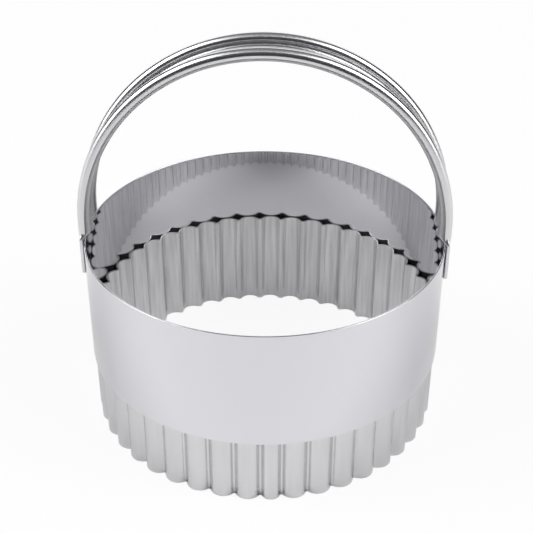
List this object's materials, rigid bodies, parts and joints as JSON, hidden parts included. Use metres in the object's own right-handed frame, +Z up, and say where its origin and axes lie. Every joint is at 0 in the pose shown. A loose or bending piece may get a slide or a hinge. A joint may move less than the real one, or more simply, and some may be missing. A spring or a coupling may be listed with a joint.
{
  "type": "fluted biscuit cutter",
  "caption": "Round steel cutter: a fluted cutting ring inside a plain band, with an arched strap handle over the top.",
  "frame": {"origin": "centre of the cutting edge, on the surface the cutter stands on", "axes": "+Z up along the rings' common axis, X across the two ends of the handle"},
  "size_m": [0.0816, 0.08, 0.0881],
  "materials": {
    "polished_band": "bright rolled stainless steel",
    "fluted_sheet": "bright corrugated stainless steel",
    "handle_strap": "polished pressed stainless steel"
  },
  "bodies": {
    "root": {"band": "polished_band", "fluted_ring": "fluted_sheet", "handle": "handle_strap"}
  },
  "joints": []
}
